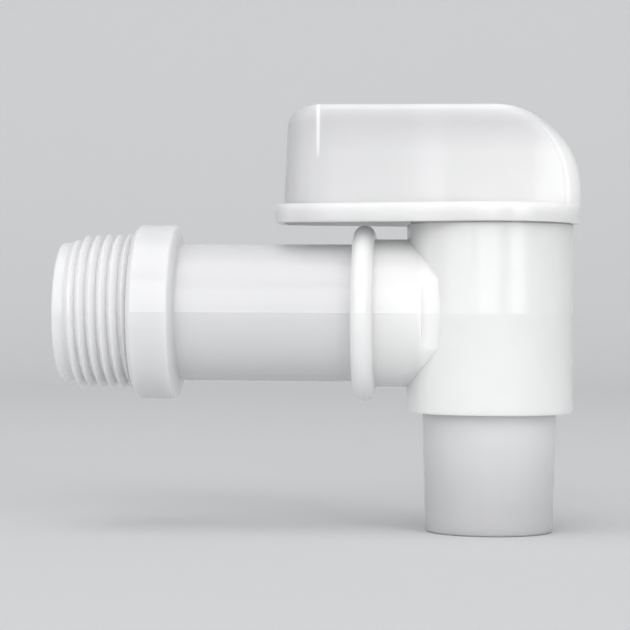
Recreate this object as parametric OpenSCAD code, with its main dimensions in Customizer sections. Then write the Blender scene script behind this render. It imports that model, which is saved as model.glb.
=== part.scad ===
// Drum spigot: a rotary tap moulded in two pieces of natural polyethylene.
// The barrel runs along X, from the inlet thread to the upright valve. X is 0 at the collar's
// shoulder, Y and Z are 0 on the barrel's axis. Handle, plug and spout are one piece and turn
// together in the body's tapered socket. The body is given as two solids that meet where the bore
// ends, and the handle as three that meet at the top and at the web of its skirt.

/* [Inlet thread] */
// Diameter over the crests next to the collar, for a 3/4-14 tapered pipe thread
thread_d = 26.67; // [25.8:0.01:27.2]
// Distance from crest to crest
thread_pitch = 1.814; // [1.7:0.001:2]
// Height of a crest above the roots
thread_depth = 1.3; // [0.9:0.05:1.4]
// Number of crests
thread_crests = 6; // [3:1:9]
// Length in which the thread's diameter falls by 1
thread_taper = 16; // [12:1:30]
// Width of the flat on a crest
crest_flat = 0.2; // [0.1:0.02:0.26]
// How much lower the first crest is, so that the thread starts easily
lead_in = 0.3; // [0:0.05:0.5]
// Length over which the thread runs out at the collar
run_out = 0.25; // [0.1:0.05:1]
// Diameter of the plain nose
nose_d = 23.6; // [22.4:0.1:24]
// Length of the plain nose
nose_len = 1.8; // [1:0.1:5]
// Bevel around the end of the nose
nose_bevel = 0.6; // [0.2:0.1:1]

/* [Barrel] */
// Diameter of the collar
collar_d = 29.6; // [28.6:0.1:34]
// Width of the collar where it stands on the barrel
collar_w = 7.7; // [4:0.1:12]
// How far each side of the collar leans in at the rim
collar_lean = 0.85; // [0.3:0.05:1.5]
// Diameter of the barrel
barrel_d = 23.3; // [22:0.1:26]
// Length of the barrel between the collar and the ring
barrel_len = 29.3; // [15:0.1:60]
// Diameter of the round ring
ring_d = 29.7; // [27:0.1:29.8]
// Width of the round ring
ring_w = 3.7; // [2:0.1:5]
// Diameter of the neck between the ring and the valve
neck_d = 25; // [23.6:0.1:26.4]
// Length of the neck between the ring and the valve's wall
neck_len = 5.3; // [3:0.1:15]
// Depth of the flat on each side of the neck, beside the valve
flat_depth = 1.1; // [0.5:0.1:1.6]
// How far past the valve's wall these flats begin
flat_setback = 2.8; // [1.5:0.1:4]
// Diameter of the bore through the thread and barrel
bore_d = 18; // [15:0.1:19]

/* [Valve] */
// Diameter of the valve's upright wall
valve_d = 28; // [27.6:0.1:34]
// From the barrel's axis down to the valve's lower face
valve_drop = 16.7; // [14.5:0.1:24]
// From the barrel's axis up to the step under the handle's skirt
valve_rise = 14.95; // [14.5:0.05:18]
// Bevel around the valve's lower edge
valve_bevel = 0.5; // [0.2:0.1:1]
// Diameter of the tapered plug under the handle
plug_d = 24.6; // [23:0.1:24.8]
// Clearance around the plug in its socket
plug_gap = 0.05; // [0.03:0.01:0.2]
// Diameter of the round port in the plug and of the way to it
port_d = 15; // [8:0.1:15]
// Thickness of the wall between the end of the barrel's bore and the socket
seat_wall = 3; // [1.5:0.1:5]
// How far the valve's rim steps in under the skirt
rim_step = 0.6; // [0.5:0.05:0.8]
// How far the snap bead stands out from the rim
bead = 0.3; // [0.2:0.05:0.4]
// Height of the snap bead, and of the lip that it holds
bead_h = 0.6; // [0.4:0.05:0.65]

/* [Spout] */
// Outside diameter at the spout's end
spout_d = 21.4; // [20.4:0.1:22.4]
// Length of the spout below the valve
spout_len = 20; // [8:0.5:60]
// Diameter of the way out through the plug and spout
outlet_d = 17.4; // [14:0.1:18]
// How much narrower the wing's hollow over the plug is than the way out, all round
core_step = 0.5; // [0.2:0.1:1]
// Bevel around the spout's end
spout_bevel = 0.4; // [0.2:0.1:1]

/* [Handle] */
// From the valve's axis to the nose of the skirt
skirt_reach = 36.1; // [26:0.1:50]
// Width of the skirt at its nose
skirt_nose_w = 15.6; // [13:0.1:20]
// Corner radius of the skirt's nose in plan
skirt_nose_r = 4; // [2.5:0.1:6]
// Height of the skirt
skirt_h = 3.2; // [2.8:0.1:6]
// Thickness of the skirt's wall
skirt_wall = 1.45; // [1:0.05:2]
// Thickness of the web that closes the skirt over the valve
web_t = 1.3; // [1:0.1:1.6]
// Running clearance around and under the skirt
skirt_gap = 0.15; // [0.1:0.05:0.25]
// Height of the wing above the skirt
wing_h = 16.8; // [10:0.1:30]
// Thickness of the wing
wing_t = 10.2; // [8:0.1:12]
// How far the skirt's nose stands out past the wing's nose
wing_setback = 1.1; // [0.5:0.1:3]
// Wall thickness of the hollow wing
wing_wall = 1.6; // [1.2:0.1:2.4]
// Radius of the wing's upper corner at the nose
wing_nose_r = 3.4; // [2.6:0.1:6]
// Radius of the wing's upper corner over the valve
wing_end_r = 14.5; // [8:0.1:16]

/* [Hidden] */
$fn = 96;
// How far a cut runs past the face that it opens
over = 1;
// How far the wing's side view stands out past its plan, so that round faces cross cleanly
crease = 0.05;
// How far the skirt's straight sides lie inside its round corners, so that the two cross cleanly
tuck = 0.01;
// How far the shoulder's flat face begins outside the largest crest
shoulder_clear = 0.1;

// Places along the barrel
ring_x = collar_w + barrel_len + ring_w / 2;
ring_mid_r = ring_d / 2 - ring_w / 2;
ring_foot = ring_w * 0.6;
neck_x = ring_x + ring_w / 2;
valve_x = neck_x + neck_len + valve_d / 2;
flat_x = neck_x + neck_len + flat_setback;
bore_x = valve_x - plug_d / 2 - seat_wall;

// The thread, measured from the shoulder towards the nose
flank = thread_depth * tan(30);
half_crest = crest_flat / 2 + flank;
first_crest = run_out + half_crest;
thread_len = first_crest + (thread_crests - 1) * thread_pitch + half_crest;
inlet_x = -(thread_len + nose_len);
shoulder_r = thread_d / 2 + shoulder_clear;

// Heights of the valve and the handle
skirt_z = valve_rise + skirt_gap;
web_z = skirt_z + skirt_h - web_t;
rim_z = web_z - skirt_gap;
wing_z = skirt_z + skirt_h;
wing_top = wing_z + wing_h;
spout_z = -valve_drop - spout_len;

// Radii of the snap between the valve's rim and the skirt
rim_r = valve_d / 2 - rim_step;
bead_r = rim_r + bead;
lip_r = rim_r + skirt_gap;
groove_r = bead_r + skirt_gap;
skirt_r = groove_r + skirt_wall;
lip_reach = groove_r * 0.6;

// Centres of the skirt's nose corners and of the wing's round nose, from the valve's axis
skirt_corner = [-(skirt_reach - skirt_nose_r), skirt_nose_w / 2 - skirt_nose_r];
wing_nose_x = -(skirt_reach - wing_setback - wing_t / 2);

function crest_x(i) = -(first_crest + i * thread_pitch);
function crest_r(i) = thread_d / 2 + crest_x(i) / thread_taper / 2
    - (i == thread_crests - 1 ? lead_in : 0);
function root_r(x) = thread_d / 2 - thread_depth + x / thread_taper / 2;
function plug_r(z) = spout_d / 2 + (plug_d - spout_d) / 2 * (z - spout_z) / (web_z - spout_z);

// Four corners of one crest as radius and place, from its nose side to its shoulder side
function crest_points(i) = let (
    x = crest_x(i),
    half = crest_flat / 2,
    low = root_r(x),
    foot = half + (crest_r(i) - low) * tan(30)
) [[low, x - foot], [crest_r(i), x - half], [crest_r(i), x + half], [low, x + foot]];

// Outline of the round barrel, from the nose to the valve's axis
function barrel_outline() = concat(
    [
        [0, inlet_x],
        [nose_d / 2 - nose_bevel, inlet_x],
        [nose_d / 2, inlet_x + nose_bevel],
        [nose_d / 2, inlet_x + nose_len]
    ],
    [for (i = [thread_crests - 1:-1:0]) each crest_points(i)],
    [
        [root_r(0), -run_out],
        [shoulder_r, 0],
        [collar_d / 2 - collar_lean, 0],
        [collar_d / 2, collar_lean],
        [collar_d / 2, collar_w - collar_lean],
        [barrel_d / 2, collar_w],
        [barrel_d / 2, ring_x],
        [neck_d / 2, ring_x],
        [neck_d / 2, valve_x],
        [0, valve_x]
    ]
);

// Turns a profile of radius and place into a solid along X
module along_x() {
    rotate([0, 90, 0])
        rotate_extrude()
            children();
}

// Round ring, with a foot that carries it down to the barrel at any diameter
module ring() {
    along_x()
        translate([ring_mid_r, ring_x])
            circle(d = ring_w);
    translate([ring_x - ring_foot / 2, 0, 0])
        rotate([0, 90, 0])
            cylinder(h = ring_foot, r = ring_mid_r);
}

module barrel() {
    difference() {
        along_x()
            polygon(barrel_outline());
        for (side = [-1, 1])
            translate([flat_x, side * (neck_d - flat_depth) - neck_d / 2, -neck_d / 2])
                cube([valve_x - flat_x + over, neck_d, neck_d]);
    }
    ring();
}

// Wall, stepped rim and snap bead of the valve
module valve_wall() {
    rotate_extrude()
        polygon([
            [0, -valve_drop],
            [valve_d / 2 - valve_bevel, -valve_drop],
            [valve_d / 2, -valve_drop + valve_bevel],
            [valve_d / 2, valve_rise],
            [rim_r, valve_rise],
            [rim_r, rim_z - bead_h],
            [bead_r, rim_z - bead_h / 2],
            [rim_r, rim_z],
            [0, rim_z]
        ]);
}

// The plug's cone between two heights, with a clearance
module plug_cone(low, high, gap) {
    translate([0, 0, low])
        cylinder(h = high - low, r1 = plug_r(low) + gap, r2 = plug_r(high) + gap);
}

// The whole body, with its bore, the way to the port and the tapered socket
module body() {
    difference() {
        union() {
            barrel();
            translate([valve_x, 0, 0])
                valve_wall();
        }
        translate([inlet_x - over, 0, 0])
            rotate([0, 90, 0])
                cylinder(h = bore_x - inlet_x + over, d = bore_d);
        rotate([0, 90, 0])
            cylinder(h = valve_x, d = port_d);
        translate([valve_x, 0, 0])
            plug_cone(-valve_drop - over, rim_z + over, plug_gap);
    }
}

// Everything on the inlet's side of the end of the bore
module inlet_side() {
    translate([inlet_x - over, -collar_d, -collar_d])
        cube([bore_x - inlet_x + over, 2 * collar_d, 2 * collar_d]);
}

module inlet_barrel() {
    color("#f3f5f4")
        intersection() {
            body();
            inlet_side();
        }
}

module valve_body() {
    color("#f3f5f4")
        difference() {
            body();
            inlet_side();
        }
}

// Point where the line along two circles of the skirt's plan touches a circle
function touch(centre, r, turn) = centre + r * [-sin(turn), cos(turn)];

// Plan of the skirt: a round end about the valve and a blunt nose, drawn in by an inset
module skirt_plan(inset) {
    end_r = skirt_r - inset;
    nose_r = skirt_nose_r - inset;
    span = norm(skirt_corner);
    turn = asin((end_r - nose_r) / span) - asin(skirt_corner[1] / span);
    nose_x = skirt_corner[0] - nose_r + tuck;
    upper = [touch(skirt_corner, nose_r - tuck, turn), touch([0, 0], end_r - tuck, turn)];
    circle(r = end_r);
    for (side = [-1, 1])
        translate([skirt_corner[0], side * skirt_corner[1]])
            circle(r = nose_r);
    polygon([
        [nose_x, -skirt_corner[1]],
        [upper[0][0], -upper[0][1]],
        [upper[1][0], -upper[1][1]],
        [0, 0],
        upper[1],
        upper[0],
        [nose_x, skirt_corner[1]]
    ]);
}

// Side view of the wing from a height up, drawn in by an inset
module wing_side(inset, low) {
    nose_r = wing_nose_r - inset;
    end_r = wing_end_r - inset;
    left = wing_nose_x - wing_t / 2 + inset - crease;
    right = skirt_r - inset + crease;
    top = wing_top - inset;
    translate([left + nose_r, top - nose_r])
        circle(r = nose_r);
    translate([right - end_r, top - end_r])
        circle(r = end_r);
    polygon([
        [left, low],
        [right, low],
        [right, top - end_r],
        [right - end_r, top],
        [left + nose_r, top],
        [left, top - nose_r]
    ]);
}

// Plan of the wing: round nose, flat sides and an end that follows the skirt
module wing_plan(inset) {
    half = wing_t / 2 - inset;
    intersection() {
        union() {
            translate([wing_nose_x, 0])
                circle(r = half);
            translate([wing_nose_x, -half])
                square([skirt_r - wing_nose_x + over, 2 * half]);
        }
        union() {
            circle(r = skirt_r - inset);
            translate([wing_nose_x - wing_t, -wing_t])
                square([wing_t - wing_nose_x, 2 * wing_t]);
        }
    }
}

// The wing from a height up, where its side view and its plan meet
module wing_block(inset, low) {
    intersection() {
        translate([0, wing_t, 0])
            rotate([90, 0, 0])
                linear_extrude(2 * wing_t)
                    wing_side(inset, low);
        translate([0, 0, low])
            linear_extrude(wing_top - low)
                wing_plan(inset);
    }
}

// Hollow of the arm, open below, as far as the wall of the plug
module arm_hollow() {
    intersection() {
        wing_block(wing_wall, skirt_z - over);
        translate([-skirt_reach, -wing_t, skirt_z - over])
            cube([skirt_reach - plug_d / 2 - plug_gap, 2 * wing_t, wing_top - skirt_z + over]);
    }
}

// Hollow of the wing above the plug, as wide as the way out lets its core be
module plug_hollow() {
    intersection() {
        wing_block(wing_wall, web_z - over);
        translate([0, 0, web_z - over])
            cylinder(h = wing_top - web_z + over, d = outlet_d - 2 * core_step);
    }
}

// Lip that snaps under the rim's bead, where the skirt's wall keeps close to the rim
module snap_lip() {
    intersection() {
        rotate_extrude()
            polygon([
                [lip_r, -2 * over],
                [skirt_r, -2 * over],
                [skirt_r, bead_h],
                [groove_r, bead_h],
                [lip_r, bead_h / 2]
            ]);
        translate([-lip_reach, -skirt_r, -2 * over])
            cube([lip_reach + skirt_r, 2 * skirt_r, bead_h + 2 * over]);
    }
}

// Room under the skirt for the valve's rim, with its lip left standing
module skirt_hollow() {
    translate([0, 0, skirt_z])
        difference() {
            translate([0, 0, -over])
                linear_extrude(web_z - skirt_z + over)
                    skirt_plan(skirt_wall);
            snap_lip();
        }
}

// Tapered plug and spout, with a bevel around the spout's end
module plug_and_spout() {
    plug_cone(spout_z + spout_bevel, web_z, 0);
    translate([0, 0, spout_z])
        cylinder(h = spout_bevel, r1 = spout_d / 2 - spout_bevel, r2 = plug_r(spout_z + spout_bevel));
}

// Way out through the plug and spout, and the port that faces the barrel under the handle
module waterway() {
    translate([0, 0, spout_z - over])
        cylinder(h = web_z - spout_z + 2 * over, d = outlet_d);
    rotate([0, -90, 0])
        cylinder(h = plug_d / 2 + over, d = port_d);
}

module handle_wing() {
    color("#e6eaec")
        translate([valve_x, 0, 0])
            difference() {
                wing_block(0, wing_z);
                arm_hollow();
                plug_hollow();
            }
}

module handle_skirt() {
    color("#e6eaec")
        translate([valve_x, 0, 0])
            difference() {
                translate([0, 0, skirt_z])
                    linear_extrude(skirt_h)
                        skirt_plan(0);
                skirt_hollow();
                arm_hollow();
                plug_hollow();
            }
}

module plug_spout() {
    color("#e6eaec")
        translate([valve_x, 0, 0])
            difference() {
                plug_and_spout();
                waterway();
            }
}

inlet_barrel();
valve_body();
handle_wing();
handle_skirt();
plug_spout();
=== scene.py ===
"""Looks of a drum spigot: two mouldings of natural polyethylene, on a pale studio floor."""

import math

import bmesh
import bpy
from mathutils import Matrix, Vector


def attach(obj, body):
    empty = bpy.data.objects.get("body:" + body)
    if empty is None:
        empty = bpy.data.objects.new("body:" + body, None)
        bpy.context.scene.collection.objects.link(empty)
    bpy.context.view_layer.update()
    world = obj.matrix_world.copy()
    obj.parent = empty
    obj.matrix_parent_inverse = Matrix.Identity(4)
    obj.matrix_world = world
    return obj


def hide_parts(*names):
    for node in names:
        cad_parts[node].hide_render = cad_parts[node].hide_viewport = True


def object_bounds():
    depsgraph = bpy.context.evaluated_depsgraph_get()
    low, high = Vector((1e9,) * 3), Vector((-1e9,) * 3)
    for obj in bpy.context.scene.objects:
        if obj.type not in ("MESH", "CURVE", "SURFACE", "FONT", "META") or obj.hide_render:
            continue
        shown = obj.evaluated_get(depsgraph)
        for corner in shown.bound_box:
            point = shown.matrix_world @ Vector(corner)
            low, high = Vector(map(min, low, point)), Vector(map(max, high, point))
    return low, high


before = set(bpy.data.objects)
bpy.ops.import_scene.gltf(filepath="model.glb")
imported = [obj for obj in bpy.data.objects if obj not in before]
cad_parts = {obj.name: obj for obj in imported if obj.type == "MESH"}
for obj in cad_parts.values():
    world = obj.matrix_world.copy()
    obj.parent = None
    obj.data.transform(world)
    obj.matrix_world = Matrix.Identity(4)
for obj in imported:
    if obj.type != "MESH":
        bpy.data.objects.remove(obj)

bl_info = {
    "name": "Drum spigot",
    "version": (1, 0, 0),
    "blender": (4, 5, 0),
    "location": "View3D > Sidebar > Spigot",
    "description": "Builds a moulded drum spigot and a plain studio around it",
    "category": "Object",
}

CAD_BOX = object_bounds()
MM = 0.001  # in metres, as all lengths are in the scene
MERGE = 1e-6  # points nearer than this, in metres, become one
SHARP_ANGLE = math.radians(24.0)
BODY_NODES = ("inlet_barrel", "valve_body")
HANDLE_NODES = ("handle_wing", "handle_skirt", "plug_spout")

# Sizes in millimetres, as in the part's source. R is a radius, W a width, H a height, and X, Y and Z are
# places along the barrel, across it and upwards.
VALVE_X = 60.0
NOSE_X, NOSE_R = -12.82, 11.8
THREAD_X, THREAD_R, THREAD_DEPTH, CREST_HALF = -11.0, 13.335, 1.3, 0.03
THREAD_TAPER = 1 / 32
THREAD_END, TOP_CREST_X = -0.02, -1.25
LEAD_IN, RUN_OUT = 1.6, 0.35
COLLAR_W, COLLAR_R, COLLAR_LEAN = 7.7, 14.8, 0.85
BARREL_R = 11.65
BARREL_MID_X, BARREL_END_X = 30.0, 36.9
RING_X, RING_R, RING_MID_R = 38.85, 1.85, 13.0
NECK_X, NECK_R, FLAT_X, FLAT_Y = 40.75, 12.5, 48.75, 11.4
BORE_R, BORE_X = 9.0, 44.7
PORT_R, PORT_LAP = 7.5, 1.7
VALVE_R, VALVE_LOW, VALVE_HIGH = 14.0, -16.7, 14.95
RIM_R, BEAD_R, BEAD_H, RIM_Z = 13.4, 13.7, 0.6, 16.85
SPOUT_Z, SPOUT_R = -36.7, 10.7
PLUG_R, PLUG_GAP, OUTLET_R, WEB_Z = 12.3, 0.05, 8.7, 17.0
SKIRT_Z, SKIRT_TOP, SKIRT_R, SKIRT_WALL = 15.1, 18.3, 15.3, 1.45
SKIRT_CORNER, SKIRT_NOSE_R = (-32.1, 3.8), 4.0
WING_NOSE, WING_TOP, WING_HALF, WING_WALL = -35.0, 35.1, 5.1, 1.6
WING_NOSE_R, WING_END_R = 3.4, 14.5
HOLLOW_EDGE, CORE_R = 0.4, 8.2
# Where the wing, the hollow of its arm and the hollow over the plug begin
WING_LOW, ARM_LOW, OVER_LOW = 17.6, 13.0, 16.0
# How far the draft shows from the parting line, and the flash line's half width
DRAFT_REACH, RIDGE_HALF = 1.2, 0.14

# How milky each moulding looks along its axes, from 0 for the clear tone to 1 for the milky one. The shares
# follow the walls' thickness together with painted light and shade: the thin valve wall is painted
# brightest, while the barrel, the collar, the handle's right end and the spout's bottom are painted darker.
# The wing is also lighter along its top edge.
BODY_WALLS_AND_PAINTED_LIGHT = {
    "X": [
        (-12.8, 0.38), (-1.0, 0.38), (1.0, 0.32), (7.0, 0.3), (9.0, 0.18), (35.5, 0.18), (38.0, 0.5),
        (48.0, 0.56), (50.0, 1.0), (75.0, 1.0),
    ],
}
HANDLE_WALLS_AND_PAINTED_LIGHT = {
    "X": [
        (25.0, 0.06), (29.0, 0.16), (34.0, 0.43), (45.0, 0.5), (53.0, 0.66), (60.0, 0.82), (66.0, 0.88),
        (70.0, 0.84), (75.0, 0.75),
    ],
    "Z": [
        (-36.7, 0.06), (-32.0, 0.1), (-21.0, 0.5), (-17.0, 0.53), (-15.0, 1.0), (18.0, 1.0), (19.0, 0.78),
        (27.0, 0.69), (32.0, 0.17), (34.0, 0.25), (35.1, 0.8),
    ],
}
# A painted highlight: the fine white line on the wing's sides, where its round nose begins
WING_PAINTED_HIGHLIGHT = {
    "X": [(30.7, 0.0), (31.0, 1.0), (31.25, 1.0), (31.55, 0.0)],
    "Z": [(25.0, 0.0), (27.0, 0.55), (29.0, 0.9), (34.5, 1.0)],
}

# The camera: what it looks at and how far off it stands, in metres, and its azimuth in degrees
CAMERA_TARGET, CAMERA_DISTANCE, CAMERA_AZIMUTH = (0.0304, 0.0, -0.00038), 0.374, 4.1
# The softboxes: azimuth and elevation in degrees, and the size and distance of their faces in metres
SOFTBOXES = {
    "key": (-2.5, 20.5, 0.94, 1.44),
    "side": (39.0, 20.5, 0.64, 1.44),
    "fill": (-42.0, 20.5, 1.30, 1.44),
    "top": (-30.0, 72.0, 1.40, 1.40),
}
SOFTBOX_TARGET, SOFTBOX_DISTANCE = (0.035, 0.0, 0.0), 1.8
# The paper sweep in millimetres: its ends, its curve up to the backdrop and how far it lies below the part
SWEEP_FRONT, SWEEP_BACK, SWEEP_HALF, SWEEP_HEIGHT = -3000.0, 700.0, 2500.0, 1800.0
SWEEP_R, SWEEP_GAP = 400.0, 0.05


class SpigotBody(bpy.types.PropertyGroup):
    """Sizes and colours of the body moulding."""

    thread_pitch: bpy.props.FloatProperty(
        name="Thread pitch", description="From crest to crest, in mm", default=1.814, min=1.7, max=2.0
    )
    edge: bpy.props.FloatProperty(
        name="Edge rounding", description="Radius of the collar's and valve's edges, in mm",
        default=0.35, min=0.05, max=0.6,
    )
    parting_ridge: bpy.props.FloatProperty(
        name="Parting ridge", description="How far the flash line stands out, in mm",
        default=0.04, min=0.0, max=0.2,
    )
    draft: bpy.props.FloatProperty(
        name="Draft", description="Tilt of the mould halves where they meet",
        default=math.radians(3.0), min=0.0, max=math.radians(5.0), subtype="ANGLE", unit="ROTATION",
    )
    milky: bpy.props.StringProperty(
        name="Milky tone", description="Polyethylene where the walls are thick, as sRGB hex",
        default="#fbfbf9",
    )
    # The clear tone is also the colour of the painted shade on the body
    clear: bpy.props.StringProperty(
        name="Clear tone", description="Polyethylene where the walls are thin, as sRGB hex",
        default="#cccccf",
    )


class SpigotHandle(bpy.types.PropertyGroup):
    """Sizes and colours of the handle moulding."""

    top_edge: bpy.props.FloatProperty(
        name="Top edge", description="Radius of the wing's top edges, in mm", default=0.9, min=0.2, max=2.0
    )
    end_edge: bpy.props.FloatProperty(
        name="End edge", description="Radius of the wing's edges over the valve, in mm",
        default=2.4, min=0.5, max=3.5,
    )
    skirt_edge: bpy.props.FloatProperty(
        name="Skirt edge", description="Radius of the skirt's lower edge, in mm",
        default=0.35, min=0.05, max=0.8,
    )
    skirt_top_edge: bpy.props.FloatProperty(
        name="Skirt top edge", description="Radius of the skirt's upper edge, in mm",
        default=0.9, min=0.05, max=1.2,
    )
    nose_lean: bpy.props.FloatProperty(
        name="Nose lean", description="How far the wing's nose leans in towards the top",
        default=math.radians(2.7), min=0.0, max=math.radians(5.0), subtype="ANGLE", unit="ROTATION",
    )
    milky: bpy.props.StringProperty(
        name="Milky tone", description="Polyethylene where the walls are thick, as sRGB hex",
        default="#fafaf9",
    )
    # The clear tone is also the colour of the painted shade on the handle
    clear: bpy.props.StringProperty(
        name="Clear tone", description="Polyethylene where the walls are thin, as sRGB hex",
        default="#c2c2c5",
    )


class SpigotStage(bpy.types.PropertyGroup):
    """Studio around the part."""

    backdrop: bpy.props.StringProperty(
        name="Backdrop colour", description="Paper sweep, as sRGB hex", default="#d3d4d5"
    )
    lens: bpy.props.FloatProperty(
        name="Lens", description="Focal length on a 36 mm sensor, in mm", default=125.7, min=20.0, max=300.0
    )
    roll: bpy.props.FloatProperty(
        name="Roll", description="Tilt of the camera about its line of sight, in degrees",
        default=0.3, min=-5.0, max=5.0,
    )
    key: bpy.props.FloatProperty(
        name="Front light", description="Brightness of the front softbox's face", default=2.15, min=0.0
    )
    side: bpy.props.FloatProperty(
        name="Side light", description="Brightness of the right softbox's face", default=2.8, min=0.0
    )
    fill: bpy.props.FloatProperty(
        name="Fill light", description="Brightness of the left softbox's face", default=1.0, min=0.0
    )
    top: bpy.props.FloatProperty(
        name="Top light", description="Brightness of the top softbox's face", default=1.2, min=0.0
    )
    air: bpy.props.FloatProperty(name="Air", description="Even light from all around", default=0.57, min=0.0)


# Meshes


def skin(name, columns, form="loops"):
    """A closed mesh over columns of points in millimetres. Each column is a loop that is carried around
    to its own start ("loops") or has a flat face at each end ("capped"), or an open line between two
    poles ("poles")."""
    bm = bmesh.new()
    verts = [[bm.verts.new(Vector(point) * MM) for point in column] for column in columns]
    rows = len(verts[0])
    for here, there in zip(verts, verts[1:]):
        for i in range(rows - 1 if form == "poles" else rows):
            k = (i + 1) % rows
            bm.faces.new((here[i], here[k], there[k], there[i]))
    if form == "capped":
        for column in (verts[0], verts[-1]):
            bm.faces.new(column)
    bmesh.ops.remove_doubles(bm, verts=bm.verts, dist=MERGE)
    bmesh.ops.dissolve_degenerate(bm, edges=bm.edges, dist=MERGE)
    bmesh.ops.recalc_face_normals(bm, faces=bm.faces)
    open_edges = sum(not edge.is_manifold for edge in bm.edges)
    if open_edges:
        raise RuntimeError(f"{name}: {open_edges} edges aren't shared by two faces")
    mesh = bpy.data.meshes.new(name)
    bm.to_mesh(mesh)
    bm.free()
    piece = bpy.data.objects.new(name, mesh)
    bpy.context.scene.collection.objects.link(piece)
    return piece


def full_turn(count):
    return [2 * math.pi * k / count for k in range(count + 1)]


def turned(name, profile, count, form="poles"):
    """A mesh turned about the valve's axis from a profile of (radius, height)."""
    columns = []
    for angle in full_turn(count):
        c, s = math.cos(angle), math.sin(angle)
        columns.append([(VALVE_X + r * c, r * s, z) for r, z in profile])
    return skin(name, columns, form)


def rod(name, radius, start, end):
    """A round rod along the barrel's axis, used only to cut with."""
    columns = []
    for angle in full_turn(96):
        y, z = radius * math.cos(angle), radius * math.sin(angle)
        columns.append([(start, 0.0, 0.0), (start, y, z), (end, y, z), (end, 0.0, 0.0)])
    return skin(name, columns, form="poles")


def block(name, low, high):
    """A box between two corners in millimetres, used only to cut with."""
    (x0, y0, z0), (x1, y1, z1) = low, high
    rim = [(y0, z0), (y1, z0), (y1, z1), (y0, z1)]
    return skin(name, [[(x, y, z) for y, z in rim] for x in (x0, x1)], form="capped")


def combine(piece, other, operation):
    """Joins or cuts one closed mesh with another, which is then removed."""
    step = piece.modifiers.new(operation.lower(), "BOOLEAN")
    step.operation, step.solver, step.object = operation, "EXACT", other
    bpy.context.view_layer.update()
    graph = bpy.context.evaluated_depsgraph_get()
    made = bpy.data.meshes.new_from_object(piece.evaluated_get(graph))
    piece.modifiers.clear()
    old, piece.data = piece.data, made
    spare = other.data
    bpy.data.objects.remove(other)
    bpy.data.meshes.remove(old)
    bpy.data.meshes.remove(spare)
    if not len(piece.data.polygons):
        raise RuntimeError(f"{piece.name}: {operation.lower()} left nothing")


def eased(points, corners, steps=5):
    """Points with some corners rounded. corners is {index: radius}."""
    for index in sorted(corners, reverse=True):
        p, a, b = (Vector(points[k]) for k in (index, index - 1, index + 1))
        u, v = (a - p).normalized(), (b - p).normalized()
        half = u.angle(v) / 2
        middle = p + (u + v).normalized() * (corners[index] / math.sin(half))
        start = p + u * (corners[index] / math.tan(half)) - middle
        end = p + v * (corners[index] / math.tan(half)) - middle
        sweep = start.angle_signed(end)
        turn = [Matrix.Rotation(-sweep * k / steps, 2) for k in range(steps + 1)]
        points = points[:index] + [tuple(middle + t @ start) for t in turn] + points[index + 1 :]
    return points


def settle(piece, body, nodes, material):
    """Smooth shading and the piece's material, slot and place in the frame."""
    piece.data.materials.clear()
    piece.data.materials.append(material)
    for face in piece.data.polygons:
        face.use_smooth = True
    piece.data.set_sharp_from_angle(angle=SHARP_ANGLE)
    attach(piece, body)
    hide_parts(*nodes)


# Materials


def linear(text):
    """An sRGB hex colour as linear RGBA."""
    parts = [int(text[k : k + 2], 16) / 255 for k in (1, 3, 5)]
    return [v / 12.92 if v <= 0.04045 else ((v + 0.055) / 1.055) ** 2.4 for v in parts] + [1.0]


def per_metre(width):
    """Scale of a noise whose blotches are about this many millimetres across."""
    return 1.0 / (width * MM)


def add_node(tree, kind, settings=None, values=None, links=None):
    """Adds one node, with its settings, its input values and what feeds it."""
    node = tree.nodes.new(kind)
    for key, value in (settings or {}).items():
        setattr(node, key, value)
    for key, value in (values or {}).items():
        node.inputs[key].default_value = value
    for key, source in (links or {}).items():
        tree.links.new(source, node.inputs[key])
    return node


def new_material(name):
    material = bpy.data.materials.new(name)
    material.use_nodes = True
    material.node_tree.nodes.clear()
    return material, material.node_tree


def wall_and_painted_light_tone(tree, place, axis, stops):
    """A share along one axis of the part, from stops of (place in mm, share). It carries the walls'
    milkiness with painted light and shade, and also the painted highlight.
    """
    along = add_node(tree, "ShaderNodeSeparateXYZ", links={"Vector": place}).outputs[axis]
    first, last = stops[0][0], stops[-1][0]
    share = add_node(tree, "ShaderNodeMapRange",
                     values={"From Min": first * MM, "From Max": last * MM}, links={"Value": along})
    ramp = add_node(tree, "ShaderNodeValToRGB", links={"Fac": share.outputs[0]})
    elements = ramp.color_ramp.elements
    while len(elements) < len(stops):
        elements.new(0.5)
    for k, (at, value) in enumerate(stops):
        elements[k].position = (at - first) / (last - first)
        elements[k].color = (value, value, value, 1.0)
    return ramp.outputs["Color"]


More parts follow.
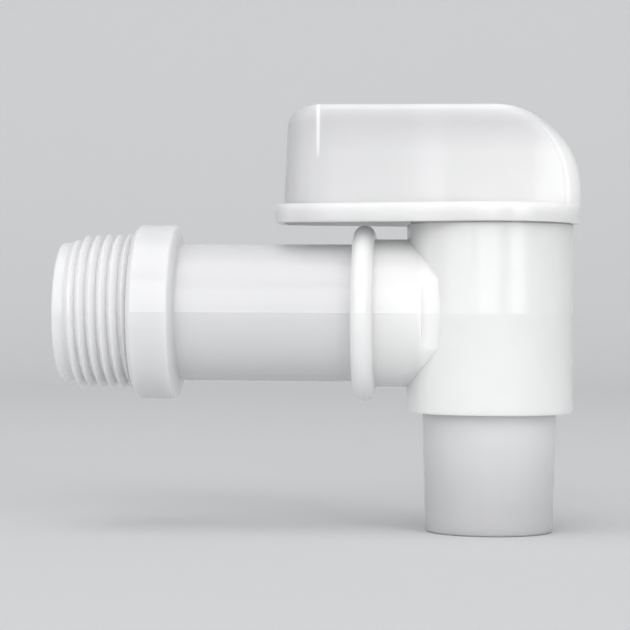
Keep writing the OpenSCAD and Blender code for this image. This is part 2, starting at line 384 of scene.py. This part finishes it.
def natural_polyethylene(name, milky, clear, walls, painted_highlight=None):
    """Natural low-density polyethylene, injection moulded. It is translucent, so light goes some
    millimetres in: thick walls look milky white and thin hollow ones greyer, and fine edges glow. The
    walls' tones also carry painted light and shade, and a painted highlight can be laid over them.
    The mould's polish leaves a soft, waxy gloss."""
    material, tree = new_material(name)
    place = add_node(tree, "ShaderNodeTexCoord").outputs["Object"]
    # Faint clouds where the melt cooled at different speeds
    clouds = add_node(tree, "ShaderNodeTexNoise",
                      values={"Scale": per_metre(8.0), "Detail": 2.0, "Roughness": 0.4},
                      links={"Vector": place})
    share = add_node(tree, "ShaderNodeMapRange",
                     values={"From Min": 0.3, "From Max": 0.7, "To Min": 0.92, "To Max": 1.0},
                     links={"Value": clouds.outputs["Fac"]}).outputs[0]
    # The tables' tones: milkiness of the walls together with painted light and shade
    for axis, stops in walls.items():
        share = add_node(tree, "ShaderNodeMath", {"operation": "MULTIPLY"},
                         links={0: share, 1: wall_and_painted_light_tone(tree, place, axis, stops)}).outputs[0]
    if painted_highlight:
        # A painted highlight: the given ramps make a white line where they overlap
        highlight_ramps = [wall_and_painted_light_tone(tree, place, axis, stops) for axis, stops in painted_highlight.items()]
        highlight_mask = add_node(tree, "ShaderNodeMath", {"operation": "MULTIPLY"},
                          links=dict(enumerate(highlight_ramps)))
        share = add_node(tree, "ShaderNodeMath", {"operation": "MAXIMUM"},
                         links={0: share, 1: highlight_mask.outputs[0]}).outputs[0]
    tone = add_node(tree, "ShaderNodeValToRGB", links={"Fac": share})
    for element, colour in zip(tone.color_ramp.elements, (clear, milky)):
        element.color = linear(colour)
    # The gloss is a little broken by the mould's own polish
    polish = add_node(tree, "ShaderNodeTexNoise", values={"Scale": per_metre(3.0), "Detail": 2.0},
                      links={"Vector": place})
    gloss = add_node(tree, "ShaderNodeMapRange",
                     values={"From Min": 0.3, "From Max": 0.7, "To Min": 0.17, "To Max": 0.24},
                     links={"Value": polish.outputs["Fac"]})
    # Sink marks and orange peel: shallow waves about 2.5 mm across
    waves = add_node(tree, "ShaderNodeTexNoise", values={"Scale": per_metre(2.5), "Detail": 1.0},
                     links={"Vector": place})
    bump = add_node(tree, "ShaderNodeBump", values={"Strength": 0.2, "Distance": 0.05 * MM},
                    links={"Height": waves.outputs["Fac"]})
    surface = add_node(tree, "ShaderNodeBsdfPrincipled",
                       values={"IOR": 1.51, "Subsurface Weight": 1.0, "Subsurface Scale": 5.0 * MM,
                               "Subsurface Radius": (1.0, 1.0, 1.0)},
                       links={"Base Color": tone.outputs["Color"], "Roughness": gloss.outputs[0],
                              "Normal": bump.outputs["Normal"]})
    add_node(tree, "ShaderNodeOutputMaterial", links={"Surface": surface.outputs[0]})
    return material


def paper(name, colour):
    """Matt paper, pressed: an even pale tone with a faint fibre."""
    material, tree = new_material(name)
    place = add_node(tree, "ShaderNodeTexCoord").outputs["Object"]
    fibre = add_node(tree, "ShaderNodeTexNoise", values={"Scale": per_metre(2.5), "Detail": 3.0},
                     links={"Vector": place})
    base = linear(colour)
    tone = add_node(tree, "ShaderNodeValToRGB", links={"Fac": fibre.outputs["Fac"]})
    tone.color_ramp.elements[0].color = [v * 0.98 for v in base[:3]] + [1.0]
    tone.color_ramp.elements[1].color = base
    bump = add_node(tree, "ShaderNodeBump", values={"Strength": 0.1, "Distance": 0.05 * MM},
                    links={"Height": fibre.outputs["Fac"]})
    card = add_node(tree, "ShaderNodeBsdfPrincipled", values={"Roughness": 0.9, "IOR": 1.45},
                    links={"Base Color": tone.outputs["Color"], "Normal": bump.outputs["Normal"]})
    add_node(tree, "ShaderNodeOutputMaterial", links={"Surface": card.outputs[0]})
    return material


# Body moulding


def thread_radius(x, phase, pitch):
    """Radius of the tapered thread at x, where phase is the share of a turn from the nearest crest."""
    root = THREAD_R - THREAD_DEPTH + x * THREAD_TAPER
    away = max(0.0, abs(phase) * pitch - CREST_HALF)
    crest = THREAD_DEPTH * max(0.0, 1.0 - away / (pitch / 2 - CREST_HALF))
    lead_in = min(1.0, max(0.0, (x - THREAD_X) / LEAD_IN))
    run_out = min(1.0, max(0.0, (THREAD_END - x) / RUN_OUT))
    return root + crest * lead_in * run_out


def thread_rows(turn, pitch):
    """One column of the right-handed helix as (radius, place), with its rows following the crests."""
    flat = CREST_HALF / pitch
    rows = []
    for k in range(-8, 3):
        for phase in (-0.5, -0.4, -0.2, -flat, flat, 0.2, 0.4):
            x = min(THREAD_END, max(THREAD_X, TOP_CREST_X + pitch * (k + phase + turn - 0.25)))
            rows.append((thread_radius(x, phase, pitch), x))
    return rows


def parting_swell(sizes, angle, radius):
    """Extra radius near the parting line, which runs at mid height along both sides."""
    height = abs(math.sin(angle)) * radius
    tilt = DRAFT_REACH * math.tan(sizes.draft) * math.exp(-height / DRAFT_REACH)
    return tilt + sizes.parting_ridge * math.exp(-((height / RIDGE_HALF) ** 2))


def parted_turn(count):
    """Angles of a full turn, closer together at the two parting lines."""
    near, gap = (0.006, 0.013, 0.022, 0.036, 0.056), 0.07
    lines = (0.0, math.pi, 2 * math.pi)
    fine = [p + side * n for p in lines for side in (-1, 1) for n in near]
    kept = [a for a in full_turn(count) if min(abs(a - p) for p in lines) > gap]
    return sorted(kept + [a for a in fine if 0 < a < 2 * math.pi] + list(lines))


def barrel_columns(sizes):
    """Columns of the barrel with its thread, from the bore's end around to the neck inside the valve."""
    edge = sizes.edge
    nose = eased(
        [(BORE_R, NOSE_X + 0.4), (BORE_R, NOSE_X), (NOSE_R, NOSE_X), (NOSE_R, THREAD_X)],
        {2: 0.6, 1: 0.25},
    )
    collar = eased(
        [(12.0, 0.0), (COLLAR_R - COLLAR_LEAN, 0.0), (COLLAR_R, COLLAR_LEAN),
         (COLLAR_R, COLLAR_W - COLLAR_LEAN), (BARREL_R, COLLAR_W), (BARREL_R, BARREL_MID_X)],
        {4: 0.5, 3: edge, 2: edge, 1: 0.15},
    )
    ring = [
        (RING_MID_R + RING_R * math.cos(math.radians(t)), RING_X + RING_R * math.sin(math.radians(t)))
        for t in range(-132, 107, 9)
    ]
    neck = [(NECK_R, NECK_X), (NECK_R, FLAT_X - 0.05), (NECK_R, FLAT_X + 0.05), (NECK_R, VALVE_X),
            (0.0, VALVE_X)]
    columns = []
    for angle in parted_turn(160):
        column = [(0.0, BORE_X, 0.0), (BORE_R, BORE_X, 0.0)]
        column += [(r, x, 0.0) for r, x in nose]
        column += [(r, x, 0.0) for r, x in thread_rows(angle / (2 * math.pi), sizes.thread_pitch)]
        column += [(r, x, 1.0) for r, x in collar + [(BARREL_R, BARREL_END_X)] + ring + neck]
        points = []
        for r, x, parted in column:
            grown = r + (parted * parting_swell(sizes, angle, r) if r > 10 else 0.0)
            y, z = grown * math.cos(angle), grown * math.sin(angle)
            if x > FLAT_X:
                flat = FLAT_Y - abs(z) * math.tan(sizes.draft)
                y = max(-flat, min(flat, y))
            points.append((x, y, z))
        columns.append(points)
    return columns


def plug_radius(z):
    return SPOUT_R + (PLUG_R - SPOUT_R) * (z - SPOUT_Z) / (WEB_Z - SPOUT_Z)


class SPIGOT_OT_body(bpy.types.Operator):
    """Build the body moulding: thread, collar, barrel, ring, neck and valve wall"""

    bl_idname = "spigot.body"
    bl_label = "Body moulding"

    def execute(self, context):
        sizes = context.scene.spigot_body
        body = skin("body_moulding", barrel_columns(sizes), form="poles")
        flash = [(VALVE_R, -0.2), (VALVE_R + 0.03, 0.0), (VALVE_R, 0.2)]
        wall = eased([(0.0, VALVE_LOW), (VALVE_R, VALVE_LOW), flash[0]], {1: sizes.edge})[:-1] + flash
        rim = eased([flash[-1], (VALVE_R, VALVE_HIGH), (RIM_R, VALVE_HIGH)], {1: 0.2})[1:]
        snap = [(RIM_R, RIM_Z - BEAD_H), (BEAD_R, RIM_Z - BEAD_H / 2), (RIM_R, RIM_Z), (0.0, RIM_Z)]
        combine(body, turned("valve_wall", wall + rim + snap, 192), "UNION")
        low, high = -20.0, 20.0
        wide = [(plug_radius(z) + PLUG_GAP, z) for z in (low, high)]
        socket = [(0.0, low), *wide, (0.0, high)]
        combine(body, turned("socket", socket, 160), "DIFFERENCE")
        combine(body, rod("port_way", PORT_R, BORE_X - PORT_LAP, VALVE_X + 1.0), "DIFFERENCE")
        # The body's tones carry painted light and shade along with the walls' milkiness
        paint = natural_polyethylene("polyethylene_natural_body", sizes.milky, sizes.clear, BODY_WALLS_AND_PAINTED_LIGHT)
        settle(body, "body", BODY_NODES, paint)
        return {"FINISHED"}


# Handle moulding


def wing_form(name, low, inset, top_edge, end_edge, lean):
    """The wing as a skin over side views, from its middle out to its flat sides."""
    half = WING_HALF - inset
    nose, end, top = WING_NOSE + inset, SKIRT_R - inset, WING_TOP - inset
    nose_r, end_r = WING_NOSE_R - inset, WING_END_R - inset
    centre_x, centre_z = end - end_r, top - end_r

    def eased_edge(y, radius):
        over = max(0.0, abs(y) - (half - radius))
        return radius - math.sqrt(max(0.0, radius * radius - over * over))

    columns = []
    for step in range(-18, 19):
        y = half * math.sin(math.radians(5.0 * step))
        left = nose + half - math.sqrt(max(0.0, half * half - y * y))
        right = math.sqrt(end * end - y * y) - eased_edge(y, end_edge)
        high = top - eased_edge(y, top_edge)
        column = [(left, low), (left, 24.0), (left, top - nose_r)]
        for t in range(1, 9):
            a = math.radians(180.0 - 90.0 * t / 8)
            column.append(
                (left + nose_r + nose_r * math.cos(a), top - nose_r + (high - top + nose_r) * math.sin(a))
            )
        column = [(x + max(0.0, z - SKIRT_TOP) * math.tan(lean), z) for x, z in column]
        column += [(-20.0, high), (-10.0, high), (centre_x, high)]
        for t in range(1, 25):
            a = math.radians(90.0 - 90.0 * t / 24)
            column.append(
                (centre_x + (right - centre_x) * math.cos(a), centre_z + (high - centre_z) * math.sin(a))
            )
        column += [(right, low)]
        columns.append([(VALVE_X + x, y, z) for x, z in column])
    return skin(name, columns, form="capped")


def skirt_loop(inset, z, count=48):
    """Plan of the skirt at one height: a round end about the valve's axis and a blunt nose."""
    corner_x, corner_y = SKIRT_CORNER
    nose_r, end_r = SKIRT_NOSE_R - inset, SKIRT_R - inset
    span = math.hypot(corner_x, corner_y)
    turn = math.asin((end_r - nose_r) / span) - math.asin(corner_y / span)
    leave = math.pi / 2 + turn
    points = []
    for k in range(count + 1):
        a = -leave + 2 * leave * k / count
        points.append((end_r * math.cos(a), end_r * math.sin(a)))
    for side, first, last in ((1, leave, math.pi), (-1, math.pi, 2 * math.pi - leave)):
        for k in range(9):
            a = first + (last - first) * k / 8
            points.append((corner_x + nose_r * math.cos(a), side * corner_y + nose_r * math.sin(a)))
    return [(VALVE_X + x, y, z) for x, y in points]


class SPIGOT_OT_handle(bpy.types.Operator):
    """Build the handle moulding: wing, skirt, plug and spout"""

    bl_idname = "spigot.handle"
    bl_label = "Handle moulding"

    def execute(self, context):
        sizes = context.scene.spigot_handle
        arc = [math.radians(a) for a in range(0, 91, 15)]
        low, high = sizes.skirt_edge, sizes.skirt_top_edge
        levels = [(low * (1 - math.sin(a)), SKIRT_Z + low * (1 - math.cos(a))) for a in arc]
        levels += [(high * (1 - math.cos(a)), SKIRT_TOP - high * (1 - math.sin(a))) for a in arc]
        handle = skin("handle_moulding", [skirt_loop(i, z) for i, z in levels], form="capped")
        under = [skirt_loop(SKIRT_WALL, z) for z in (SKIRT_Z - 1.0, WEB_Z)]
        combine(handle, skin("under_skirt", under, form="capped"), "DIFFERENCE")
        wing = wing_form("wing", WING_LOW, 0.0, sizes.top_edge, sizes.end_edge, sizes.nose_lean)
        combine(handle, wing, "UNION")
        arm = wing_form("arm_space", ARM_LOW, WING_WALL, HOLLOW_EDGE, HOLLOW_EDGE, sizes.nose_lean)
        limit = block("arm_limit", (20.0, -8.0, 12.0), (VALVE_X - PLUG_R - PLUG_GAP, 8.0, 40.0))
        combine(arm, limit, "INTERSECT")
        combine(handle, arm, "DIFFERENCE")
        over = wing_form("over_plug", OVER_LOW, WING_WALL, HOLLOW_EDGE, HOLLOW_EDGE, sizes.nose_lean)
        core = turned("core", [(0.0, 15.0), (CORE_R, 15.0), (CORE_R, 40.0), (0.0, 40.0)], 96)
        combine(over, core, "INTERSECT")
        combine(handle, over, "DIFFERENCE")
        plug_top = WEB_Z + 0.3
        outer = eased(
            [(OUTLET_R, plug_top), (OUTLET_R, SPOUT_Z), (SPOUT_R, SPOUT_Z),
             (plug_radius(plug_top), plug_top)],
            {2: 0.4, 1: 0.25},
        )
        plug = turned("plug", outer, 192, form="loops")
        combine(plug, rod("port_cut", PORT_R, VALVE_X - 15.0, VALVE_X), "DIFFERENCE")
        combine(handle, plug, "UNION")
        # The handle's tones carry painted light and shade along with the walls' milkiness, and a painted
        # highlight on the wing's sides
        paint = natural_polyethylene("polyethylene_natural_handle", sizes.milky, sizes.clear, HANDLE_WALLS_AND_PAINTED_LIGHT,
                                     WING_PAINTED_HIGHLIGHT)
        settle(handle, "handle", HANDLE_NODES, paint)
        return {"FINISHED"}


# Studio


def away_from(azimuth, elevation):
    """Unit direction away from the part at an azimuth from the front and an elevation, in degrees."""
    a, e = math.radians(azimuth), math.radians(elevation)
    return Vector((math.sin(a) * math.cos(e), -math.cos(a) * math.cos(e), math.sin(e)))


def softbox(name, azimuth, elevation, width, height, brightness):
    """A rectangular lamp that faces the part. Its power follows from its face's brightness."""
    lamp = bpy.data.lights.new(name, "AREA")
    lamp.shape, lamp.size, lamp.size_y = "RECTANGLE", width, height
    lamp.energy = brightness * math.pi * width * height
    box = bpy.data.objects.new(name, lamp)
    back = away_from(azimuth, elevation)
    box.location = Vector(SOFTBOX_TARGET) + back * SOFTBOX_DISTANCE
    box.rotation_euler = back.to_track_quat("Z", "Y").to_euler()
    bpy.context.scene.collection.objects.link(box)


def paper_sweep(colour):
    """Floor that curves up into a backdrop behind the part."""
    floor = CAD_BOX[0][2] / MM - SWEEP_GAP
    curve = [(SWEEP_FRONT, floor), (SWEEP_BACK, floor)]
    for a in (math.radians(t) for t in range(6, 91, 6)):
        curve.append((SWEEP_BACK + SWEEP_R * math.sin(a), floor + SWEEP_R * (1 - math.cos(a))))
    curve.append((SWEEP_BACK + SWEEP_R, SWEEP_HEIGHT))
    bm = bmesh.new()
    rows = [[bm.verts.new(Vector((x, y, z)) * MM) for y, z in curve] for x in (-SWEEP_HALF, SWEEP_HALF)]
    for i in range(len(curve) - 1):
        bm.faces.new((rows[0][i], rows[1][i], rows[1][i + 1], rows[0][i + 1]))
    mesh = bpy.data.meshes.new("paper_sweep")
    bm.to_mesh(mesh)
    bm.free()
    for face in mesh.polygons:
        face.use_smooth = True
    mesh.materials.append(paper("matt_paper_sweep", colour))
    sweep = bpy.data.objects.new("paper_sweep", mesh)
    bpy.context.scene.collection.objects.link(sweep)


class SPIGOT_OT_studio(bpy.types.Operator):
    """Build the camera, the lights and the pale sweep"""

    bl_idname = "spigot.studio"
    bl_label = "Studio"

    def execute(self, context):
        stage = context.scene.spigot_stage
        scene = context.scene
        paper_sweep(stage.backdrop)

        back = away_from(CAMERA_AZIMUTH, 0.0)
        lens = bpy.data.cameras.new("camera")
        lens.sensor_width, lens.lens = 36.0, stage.lens
        lens.clip_start, lens.clip_end = 0.01, 20.0
        camera = bpy.data.objects.new("camera", lens)
        camera.location = Vector(CAMERA_TARGET) + back * CAMERA_DISTANCE
        roll = Matrix.Rotation(math.radians(stage.roll), 4, "Z").to_quaternion()
        camera.rotation_euler = (back.to_track_quat("Z", "Y") @ roll).to_euler()
        scene.collection.objects.link(camera)
        scene.camera = camera

        for name, (azimuth, elevation, width, height) in SOFTBOXES.items():
            softbox(f"{name}_softbox", azimuth, elevation, width, height, getattr(stage, name))
        world = bpy.data.worlds.new("studio_air")
        scene.world = world
        world.use_nodes = True
        world.node_tree.nodes.clear()
        air = add_node(world.node_tree, "ShaderNodeBackground",
                       values={"Color": linear("#fafafa"), "Strength": stage.air})
        add_node(world.node_tree, "ShaderNodeOutputWorld", links={"Surface": air.outputs[0]})
        scene.view_settings.view_transform = "Standard"
        return {"FINISHED"}


# Panel and run


class SPIGOT_PT_sidebar(bpy.types.Panel):
    """Sizes and steps of the spigot"""

    bl_idname = "SPIGOT_PT_sidebar"
    bl_label = "Drum spigot"
    bl_space_type = "VIEW_3D"
    bl_region_type = "UI"
    bl_category = "Spigot"

    def draw(self, context):
        steps = {
            "spigot_body": "spigot.body", "spigot_handle": "spigot.handle", "spigot_stage": "spigot.studio",
        }
        for group, step in steps.items():
            box = self.layout.box()
            held = getattr(context.scene, group)
            for key in held.bl_rna.properties.keys():
                if key not in ("rna_type", "name"):
                    box.prop(held, key)
            box.operator(step)


CLASSES = (SpigotBody, SpigotHandle, SpigotStage, SPIGOT_OT_body, SPIGOT_OT_handle, SPIGOT_OT_studio,
           SPIGOT_PT_sidebar)
GROUPS = {"spigot_body": SpigotBody, "spigot_handle": SpigotHandle, "spigot_stage": SpigotStage}


def register():
    for cls in CLASSES:
        bpy.utils.register_class(cls)
    for name, group in GROUPS.items():
        setattr(bpy.types.Scene, name, bpy.props.PointerProperty(type=group))


def unregister():
    for name in GROUPS:
        delattr(bpy.types.Scene, name)
    for cls in reversed(CLASSES):
        bpy.utils.unregister_class(cls)


def main():
    register()
    for step in (bpy.ops.spigot.studio, bpy.ops.spigot.body, bpy.ops.spigot.handle):
        if step() != {"FINISHED"}:
            raise RuntimeError(f"{step.idname()} didn't finish")


if __name__ == "__main__":
    main()
